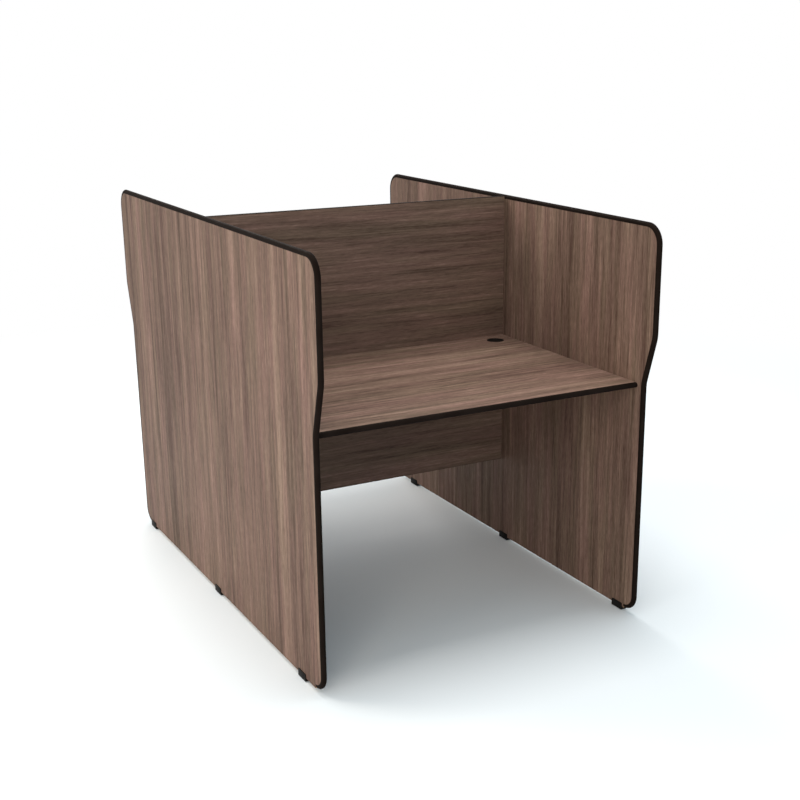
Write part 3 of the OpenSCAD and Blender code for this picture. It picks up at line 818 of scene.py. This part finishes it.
def raise_rings(rings, segments, closed_loop=False):
    """rings is a list of (radius, height) in metres, from the first ring to the last."""
    start_fresh()
    radius, height = rings[0]
    bpy.ops.mesh.primitive_circle_add(
        vertices=segments, radius=radius, location=(0, 0, height)
    )
    piece = settle(bpy.context.object)
    edit(piece)
    bpy.ops.mesh.select_all(action="SELECT")
    for new_radius, new_height in rings[1:]:
        run((0, 0, new_height - height))
        grow = new_radius / radius
        bpy.ops.transform.resize(
            value=(grow, grow, 1), center_override=(0, 0, new_height)
        )
        radius, height = new_radius, new_height
    if not closed_loop:
        bpy.ops.mesh.edge_face_add()
        pick("VERT", lambda v: v.index < segments)
        bpy.ops.mesh.edge_face_add()
    bpy.ops.mesh.select_all(action="SELECT")
    bpy.ops.mesh.remove_doubles(threshold=0.000001)
    bpy.ops.mesh.normals_make_consistent(inside=False)
    start_fresh()
    return piece


# %% Cut one piece with another


def cut(piece, tool, operation="DIFFERENCE"):
    """Cut with a tool, or join it, and throw the tool away."""
    modify(piece, "BOOLEAN", object=tool, operation=operation, solver="EXACT")
    bpy.data.objects.remove(tool)


def bore(piece, rings, segments, spot, operation="DIFFERENCE"):
    """Raise a round cutter at a spot and cut with it."""
    tool = raise_rings(rings, segments)
    tool.location = spot
    cut(piece, settle(tool), operation)


# %% Sink the pocket and the screws' seats

POCKET_R = 8.4 * MM
POCKET_TOP = 4.2 * MM
SCREW_OFF = 17 * MM
HEAD_R = 3.5 * MM
SHANK_R = 1.75 * MM
HOLE_PLAY = 0.1 * MM
bore(shoe, [(POCKET_R, 0), (POCKET_R, POCKET_TOP)], 48, (shoe_at.x, shoe_at.y, 0))
screw_seat = [
    (HEAD_R + HOLE_PLAY, 0),
    (HEAD_R + HOLE_PLAY, shoe_low.z),
    (SHANK_R + HOLE_PLAY, shoe_low.z + HEAD_R - SHANK_R),
    (SHANK_R + HOLE_PLAY, FLOOR_GAP + MM),
]
for way in (-1, 1):
    bore(shoe, screw_seat, 32, (shoe_at.x, shoe_at.y + way * SCREW_OFF, 0))
print("faces of a shoe with its pocket and seats:", len(shoe.data.polygons))

# %% [markdown]
# A mould can't make a sharp edge, so a last bevel takes the sharpness off every one. Six
# shoes could each be modelled in place, but they are the same moulding, so one is copied.

# %% Ease the edges, and make six shoes of one

MOULD_EDGE = 0.35 * MM
modify(
    shoe,
    "BEVEL",
    width=MOULD_EDGE,
    segments=2,
    limit_method="ANGLE",
    angle_limit=math.radians(40),
    use_clamp_overlap=True,
)
FEET = [
    panel + "_" + place
    for panel in ("left", "right")
    for place in ("front", "middle", "back")
]
for foot in FEET:
    boot = copy_to(shoe, foot + "_boot", centre_of(foot + "_shoe") - shoe_at)
    finish_piece(
        boot, foot + "_boot", "station", abs_moulded, foot + "_shoe"
    )
bpy.data.objects.remove(shoe)

# %% [markdown]
# ## The shoe screws
#
# Two countersunk zinc-plated screws hold each shoe, with a cross recess for the driver.
# Their heads show from below only, and a thread inside the board wouldn't be seen, so the
# shank stays plain. A cone makes the head, and two crossed blocks cut the recess.

# %% A screw and its cross recess


def cut_cross(piece, half_length, half_width, depth):
    """Sink a cross recess in the underside of a fitting."""
    for angle in (0, math.pi / 2):
        bar = block((-half_length, -half_width, -MM), (half_length, half_width, depth))
        bar.rotation_euler = (0, 0, angle)
        cut(piece, settle(bar))


SCREW_LEN = 30 * MM
POINT_LEN = 3 * MM
POINT_R = 0.3 * MM
screw = raise_rings(
    [
        (HEAD_R - 0.1 * MM, 0),
        (HEAD_R, 0.15 * MM),
        (SHANK_R, HEAD_R - SHANK_R),
        (SHANK_R, SCREW_LEN - POINT_LEN),
        (POINT_R, SCREW_LEN),
    ],
    32,
)
cut_cross(screw, half_length=2 * MM, half_width=0.35 * MM, depth=1.1 * MM)
print("faces of a screw:", len(screw.data.polygons))

# %% Twelve screws from one


def join(pieces, name):
    """Make one piece of several, under one name."""
    start_fresh()
    for piece in pieces:
        piece.select_set(True)
    bpy.context.view_layer.objects.active = pieces[0]
    bpy.ops.object.join()
    whole = bpy.context.object
    whole.name = name
    return settle(whole)


screws = []
for foot in FEET:
    place = centre_of(foot + "_shoe")
    for way in (-1, 1):
        spot = (place.x, place.y + way * SCREW_OFF, shoe_low.z)
        screws.append(copy_to(screw, "screw", spot))
bpy.data.objects.remove(screw)
boot_screws = join(screws, "boot_screws")
finish_piece(
    boot_screws, "boot_screws", "station", zinc_plated, "shoe_screws"
)

# %% [markdown]
# ## The levelling screws
#
# Each has a moulded pad on the floor and an M6 stem that climbs through a nut in the shoe.
# The stem could stay a plain rod with a striped bump, but it comes into view when a foot is
# let down. So the thread is real: a triangle wound up by a Screw modifier, one pitch for
# each turn, and then joined to a plain core. A key in a hexagon socket turns it from below.

# %% Pad and core

PAD_R = 8 * MM
PAD_T = 4 * MM
CORE_R = 2.5 * MM
STEM_TOP = 30 * MM
pad = raise_rings(
    [
        (PAD_R - 0.8 * MM, 0),
        (PAD_R - 0.2 * MM, 0.25 * MM),
        (PAD_R, 0.8 * MM),
        (PAD_R, PAD_T - 0.5 * MM),
        (PAD_R - 0.5 * MM, PAD_T),
        (CORE_R, PAD_T),
        (CORE_R, STEM_TOP - 0.4 * MM),
        (CORE_R - 0.4 * MM, STEM_TOP),
    ],
    48,
)
print("faces of the pad and core:", len(pad.data.polygons))

# %% Wind the thread

STEM_R = 3 * MM
PITCH = 1 * MM
RIDGE_R = 0.4 * MM
RIDGE_STRETCH = 1.2
THREAD_START = PAD_T + 0.5 * MM
THREAD_FREE = 1.2 * MM
start_fresh()
bpy.ops.mesh.primitive_circle_add(
    vertices=3,
    radius=RIDGE_R,
    location=(STEM_R - RIDGE_R, 0, THREAD_START),
    rotation=(math.pi / 2, math.pi / 2, 0),
)
ridge = bpy.context.object
ridge.scale = (RIDGE_STRETCH, 1, 1)
settle(ridge)
turns = int((STEM_TOP - PAD_T - THREAD_FREE) / PITCH)
modify(
    ridge,
    "SCREW",
    axis="Z",
    steps=24,
    render_steps=24,
    iterations=turns,
    screw_offset=PITCH,
    use_merge_vertices=True,
    merge_threshold=0.00001,
)
edit(ridge)
bpy.ops.mesh.select_mode(type="EDGE")
bpy.ops.mesh.select_all(action="DESELECT")
bpy.ops.mesh.select_non_manifold()
bpy.ops.mesh.fill()
bpy.ops.mesh.select_all(action="SELECT")
bpy.ops.mesh.normals_make_consistent(inside=False)
start_fresh()
print("the thread has", turns, "turns")

# %% Socket, and six levelling screws from one

SOCKET_R = 2.5 * MM / math.cos(math.pi / 6)
SOCKET_DEEP = 2.5 * MM
bore(pad, [(SOCKET_R, -MM), (SOCKET_R, SOCKET_DEEP)], 6, (0, 0, 0))
leveller = join([pad, ridge], "leveller")
for foot in FEET:
    spot = centre_of(foot + "_leveller")
    jack = copy_to(leveller, foot + "_jack", (spot.x, spot.y, 0))
    finish_piece(
        jack,
        foot + "_jack",
        foot + "_foot",
        abs_moulded,
        foot + "_leveller",
    )
bpy.data.objects.remove(leveller)

# %% [markdown]
# ## The grommets
#
# A grommet lines the cable hole: a flanged liner, a cap that turns in it, and a flap that
# lifts to let cables through. A disc with a dark slot painted on it would do for the
# picture, but the cap turns and the flap opens, so all three are whole. The liner is raised
# ring by ring as a closed section, so its flange, skirt and ledge are one surface. The rings
# that lie 0.1 to 0.5 mm apart round its edges.

# %% The liner

FLANGE_R = 29 * MM
FLANGE_T = 2 * MM
SKIRT_R = 24.8 * MM
BORE_R = 22.8 * MM
LEDGE_R = 20.8 * MM
CAP_T = 3 * MM
CAP_LIFT = 0.1 * MM
liner_low, liner_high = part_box("front_grommet_liner")
flange_z = liner_high.z
seat_z = flange_z - FLANGE_T
ledge_z = flange_z - CAP_T - CAP_LIFT
liner = raise_rings(
    [
        (SKIRT_R, seat_z),
        (FLANGE_R, seat_z),
        (FLANGE_R, flange_z - 0.5 * MM),
        (FLANGE_R - 0.15 * MM, flange_z - 0.15 * MM),
        (FLANGE_R - 0.5 * MM, flange_z),
        (BORE_R + 0.5 * MM, flange_z),
        (BORE_R + 0.15 * MM, flange_z - 0.1 * MM),
        (BORE_R, flange_z - 0.4 * MM),
        (BORE_R, ledge_z),
        (LEDGE_R, ledge_z),
        (LEDGE_R, ledge_z - 1 * MM),
        (BORE_R, ledge_z - 2 * MM),
        (BORE_R, liner_low.z),
        (SKIRT_R, liner_low.z),
        (SKIRT_R, seat_z),
    ],
    96,
    closed_loop=True,
)
print("the liner reaches", round((flange_z - liner_low.z) / MM, 1), "mm down")

# %% [markdown]
# The cap is a disc with a slightly sunk face inside its rim. Its slot for the cables runs in
# from the edge. The slot could be left open while the rings are raised, but then each ring
# would have two loose ends. It is easier to raise the whole disc and to cut the slot with a
# block.

# %% The cap and its slot

CAP_R = 22.7 * MM
SLOT_W = 17 * MM
SLOT_LEN = 13 * MM
cap_low = flange_z - CAP_T
cap = raise_rings(
    [
        (CAP_R - 0.2 * MM, cap_low),
        (CAP_R, cap_low + 0.2 * MM),
        (CAP_R, flange_z - 0.4 * MM),
        (CAP_R - 0.15 * MM, flange_z - 0.1 * MM),
        (CAP_R - 0.5 * MM, flange_z),
        (CAP_R - 1.8 * MM, flange_z),
        (CAP_R - 2.2 * MM, flange_z - 0.35 * MM),
    ],
    96,
)
mouth = block(
    (-SLOT_W / 2, CAP_R - SLOT_LEN, cap_low - MM),
    (SLOT_W / 2, CAP_R + MM, flange_z + MM),
)
cut(cap, mouth)
print("faces of the cap:", len(cap.data.polygons))

# %% [markdown]
# The flap fills the slot but for a thin gap. It could be cut from the cap's own disc, but
# then its hinge would need patching. Instead a block gives its sides, a disc trims its outer
# end to the cap's round, a knuckle rounds it at the hinge, and a shallow hollow takes the
# thumb. Its pins lie along X and reach into the cap.

# %% The flap


def lay_along_x(rod, y, z):
    """Lay down a rod that was raised upright, with its middle at x = 0."""
    rod.rotation_euler = (0, math.pi / 2, 0)
    rod.location = (0, y, z)
    return settle(rod)


GAP = 0.3 * MM
THUMB_DEEP = 0.6 * MM
THUMB_OFF = 6.5 * MM
flap_half = SLOT_W / 2 - GAP
pin_y = CAP_R - SLOT_LEN + GAP + CAP_T / 2
pin_z = flange_z - CAP_T / 2
flap = block((-flap_half, pin_y, cap_low), (flap_half, CAP_R + MM, flange_z))
trim = [(CAP_R - GAP, cap_low - MM), (CAP_R - GAP, flange_z + MM)]
bore(flap, trim, 96, (0, 0, 0), "INTERSECT")
knuckle = raise_rings([(CAP_T / 2, -flap_half), (CAP_T / 2, flap_half)], 32)
cut(flap, lay_along_x(knuckle, pin_y, pin_z), "UNION")
hollow = [(9 * MM, flange_z - THUMB_DEEP), (11 * MM, flange_z + MM)]
bore(flap, hollow, 48, (0, CAP_R + THUMB_OFF, 0))
print("faces of the flap before its edges are eased:", len(flap.data.polygons))

# %% Its eased edges and its pins

FLAP_EDGE = 0.2 * MM
PIN_R = 0.75 * MM
PIN_LEN = 1.5 * MM
modify(
    flap,
    "BEVEL",
    width=FLAP_EDGE,
    segments=2,
    limit_method="ANGLE",
    angle_limit=math.radians(50),
)
pin_half = SLOT_W / 2 + PIN_LEN
pin = raise_rings([(PIN_R, -pin_half), (PIN_R, pin_half)], 24)
flap = join([flap, lay_along_x(pin, pin_y, pin_z)], "flap")
print("the pins reach", round((pin_half - flap_half) / MM, 1), "mm past the flap")

# %% Set a grommet in each desk

for side, half_turn in (("front", False), ("back", True)):
    place = centre_of(side + "_grommet_liner")
    place.z = 0
    for part, name, body in (
        (liner, "_liner", "station"),
        (cap, "_cap", side + "_cap"),
        (flap, "_flap", side + "_flap"),
    ):
        finish_piece(
            copy_to(part, side + name, place, half_turn),
            side + name,
            body,
            abs_moulded,
            side + "_grommet" + name,
        )
for part in (liner, cap, flap):
    bpy.data.objects.remove(part)

# %% [markdown]
# ## Cam discs
#
# The discs lie flush in the desks' undersides and pull the bolts' heads in when they are
# turned. From below each shows a cross recess for the driver and a small arrow. They could
# be left to a texture, but a recess that is really cut darkens as the real one does.

# %% One disc

CAM_R = 7.5 * MM
CAM_T = 12 * MM
ARROW_R = 1.3 * MM
ARROW_DEEP = 0.4 * MM
ARROW_OFF = 5.2 * MM
disc = raise_rings([(CAM_R - 0.5 * MM, 0), (CAM_R, 0.4 * MM), (CAM_R, CAM_T)], 48)
cut_cross(disc, half_length=3.6 * MM, half_width=0.6 * MM, depth=1.4 * MM)
bore(disc, [(ARROW_R, -MM), (ARROW_R, ARROW_DEEP)], 3, (ARROW_OFF, 0, 0))
print("faces of a disc:", len(disc.data.polygons))

# %% Nine discs under each desk

CAM_INSET = 24 * MM
END_CAM = 70 * MM
THROUGH_X = 370 * MM
under_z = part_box("front_desk_board")[0].z
for side in ("front", "back"):
    low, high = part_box(side + "_desk_board")
    rows = [low.y + END_CAM, (low.y + high.y) / 2, high.y - END_CAM]
    wall_y = high.y - CAM_INSET if side == "front" else low.y + CAM_INSET
    spots = [(x, y) for x in (low.x + CAM_INSET, high.x - CAM_INSET) for y in rows]
    spots += [(x, wall_y) for x in (-THROUGH_X, 0, THROUGH_X)]
    discs = [copy_to(disc, "disc", (x, y, under_z)) for x, y in spots]
    name = side + "_desk_fittings"
    finish_piece(
        join(discs, name), name, "station", zinc_cast, side + "_desk_cams"
    )
bpy.data.objects.remove(disc)

# %% [markdown]
# ## Covers on the divider
#
# The divider's own cam discs hide under flat caps that are pressed over them. A plain disc
# would do, but no highlight would run round it. Four rings give it a soft edge at little
# cost.

# %% One cover, copied to eight

COVER_R = 8.5 * MM
LOW_PAIR_UP = 300 * MM
DESK_PAIR_UP = 110 * MM
cover = raise_rings(
    [
        (COVER_R, 0),
        (COVER_R, 0.5 * MM),
        (COVER_R - 0.3 * MM, 0.9 * MM),
        (COVER_R - 1.1 * MM, 1.2 * MM),
    ],
    48,
)
cover.rotation_euler = (-math.pi / 2, 0, 0)
settle(cover)
cover_low, cover_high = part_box("divider_cam_covers")
cover_heights = [
    cover_low.z + COVER_R,
    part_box("divider_bottom_tape")[0].z + LOW_PAIR_UP,
    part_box("front_desk_board")[1].z + DESK_PAIR_UP,
    cover_high.z - COVER_R,
]
divider_back_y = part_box("divider_board")[1].y
covers = [
    copy_to(cover, "cover", (x, divider_back_y, z))
    for x in (cover_low.x + COVER_R, cover_high.x - COVER_R)
    for z in cover_heights
]
bpy.data.objects.remove(cover)
finish_piece(
    join(covers, "divider_covers"),
    "divider_covers",
    "station",
    abs_moulded,
    "divider_cam_covers",
)

# %% [markdown]
# ## The floor
#
# The floor is white paper and takes the soft shadow. A curved backdrop would hide the
# horizon too, but it would also throw light back at the station. Instead the floor fades to
# plain white far from it, and so does the sky. Only the camera gets that white, straight, in
# a shiny surface or through glass. The light on the object stays as it is.

# %% Tell the camera's rays from the light's


def what_shows(tree):
    """1 for rays that end in the picture's background, 0 for those that carry the light."""
    path = add(tree, "LightPath").outputs
    shows = path["Is Camera Ray"]
    for ray in ("Is Glossy Ray", "Is Transmission Ray"):
        both = {0: shows, 1: path[ray]}
        shows = add(tree, "Math", both, operation="MAXIMUM").outputs[0]
    return shows


# %% Paper that fades to white

FLOOR_SIZE = 80
FADE_START = 2.2
FADE_END = 4.2
start_fresh()
bpy.ops.mesh.primitive_plane_add(size=FLOOR_SIZE, location=(0, 0, 0))
floor = bpy.context.object
floor.name = "studio_floor"
paper, paper_tree, paper_shader = new_material("studio_paper")
paper_shader.inputs["Base Color"].default_value = linear("#e8edf0")
paper_shader.inputs["Roughness"].default_value = 0.9
from_centre = add(
    paper_tree,
    "VectorMath",
    {0: add(paper_tree, "TexCoord").outputs["Object"]},
    operation="LENGTH",
).outputs["Value"]
fade = add(
    paper_tree,
    "MapRange",
    {"Value": from_centre, "From Min": FADE_START, "From Max": FADE_END},
    interpolation_type="SMOOTHSTEP",
).outputs[0]
share = add(
    paper_tree, "Math", {0: fade, 1: what_shows(paper_tree)}, operation="MULTIPLY"
).outputs[0]
glow = add(paper_tree, "Emission", {"Color": "#ffffff", "Strength": 1.0})
far_white = add(
    paper_tree,
    "MixShader",
    {0: share, 1: paper_shader.outputs[0], 2: glow.outputs[0]},
)
paper_tree.links.new(
    far_white.outputs[0], paper_tree.nodes["Material Output"].inputs["Surface"]
)
floor.data.materials.append(paper)
print("the floor fades from", FADE_START, "to", FADE_END, "m")

# %% [markdown]
# ## The light
#
# A bright, even sky and large soft boxes light a white studio. One small lamp would give
# hard shadows, which the photograph doesn't have. The boxes stand above, behind and on the
# left, where the photograph's panel is brightest, and the sky fills the rest.
#
# The sky is a touch cooler than the boxes, as in a studio whose big lamps are a little warm.
# Without that the shade under the desk turns brown.

# %% The sky

SKY_LEVEL = 0.72
COOL = "#e7f7ff"
WHITE = "#ffffff"
world = bpy.data.worlds.new("studio")
bpy.context.scene.world = world
world.use_nodes = True
sky = world.node_tree
background = sky.nodes["Background"]
seen = what_shows(sky)
level = add(
    sky, "Math", {0: seen, 1: 1 - SKY_LEVEL, 2: SKY_LEVEL}, operation="MULTIPLY_ADD"
)
tint = add(sky, "Mix", {0: seen, 6: COOL, 7: WHITE}, data_type="RGBA")
sky.links.new(level.outputs[0], background.inputs["Strength"])
sky.links.new(tint.outputs[2], background.inputs["Color"])
print("the sky lights at", SKY_LEVEL, "of white")

# %% The soft boxes

LIT_SPOT = Vector((0, 0, 0.6))
WARM = "#fff2e4"
NEAR_WHITE = "#fff9f4"


def soft_box(name, place, size, watts, colour):
    """A square area light that points at the station."""
    light = bpy.data.lights.new(name, "AREA")
    light.shape = "SQUARE"
    light.size = size
    light.energy = watts
    light.color = linear(colour)[:3]
    lamp = bpy.data.objects.new(name, light)
    bpy.context.scene.collection.objects.link(lamp)
    lamp.location = place
    lamp.rotation_euler = (Vector(place) - LIT_SPOT).to_track_quat("Z", "Y").to_euler()
    print(name, "gives", watts, "W from", place)


soft_box("overhead", (0, 0, 5.5), 3.0, 172, NEAR_WHITE)
soft_box("left_back", (-4.0, 3.0, 4.4), 2.4, 132, WARM)
soft_box("left_front", (-3.0, -4.5, 4.2), 2.4, 66, WARM)
soft_box("left_low", (-5.0, -2.2, 1.2), 1.6, 62, WARM)
soft_box("low_front", (-4.0, -4.0, 0.9), 1.6, 46, WARM)
soft_box("back_rim", (0.5, 5.0, 4.6), 2.4, 126, NEAR_WHITE)

# %% [markdown]
# ## The camera
#
# The camera's place, turn and focal length were solved from the straight edges of the
# panels, the screen and the desk in the photograph. It could be set by eye, but an error of
# a degree moves the far corners by many pixels. Its optical centre lies a little off the
# middle of the picture, as in any photograph that was cropped, and the lens shift puts it
# there.

# %% Set the camera

AZIMUTH = math.radians(-29.91)
ELEVATION = math.radians(17.51)
CAMERA_AT = (-1.78162, -3.65466, 1.70994)
FOCAL_PX = 1290.33
CENTRE_PX = (452.26, 443.03)
IMAGE_PX = 800
SENSOR_MM = 36
lens = bpy.data.cameras.new("camera")
lens.sensor_width = SENSOR_MM
lens.lens = SENSOR_MM * FOCAL_PX / IMAGE_PX
lens.shift_x = (IMAGE_PX / 2 - CENTRE_PX[0]) / IMAGE_PX
lens.shift_y = (CENTRE_PX[1] - IMAGE_PX / 2) / IMAGE_PX
camera = bpy.data.objects.new("camera", lens)
bpy.context.scene.collection.objects.link(camera)
backward = Vector(
    (
        math.sin(AZIMUTH) * math.cos(ELEVATION),
        -math.cos(AZIMUTH) * math.cos(ELEVATION),
        math.sin(ELEVATION),
    )
)
camera.location = CAMERA_AT
camera.rotation_euler = backward.to_track_quat("Z", "Y").to_euler()
bpy.context.scene.camera = camera
bpy.context.scene.view_settings.view_transform = "Standard"
print("focal length:", round(lens.lens, 1), "mm")
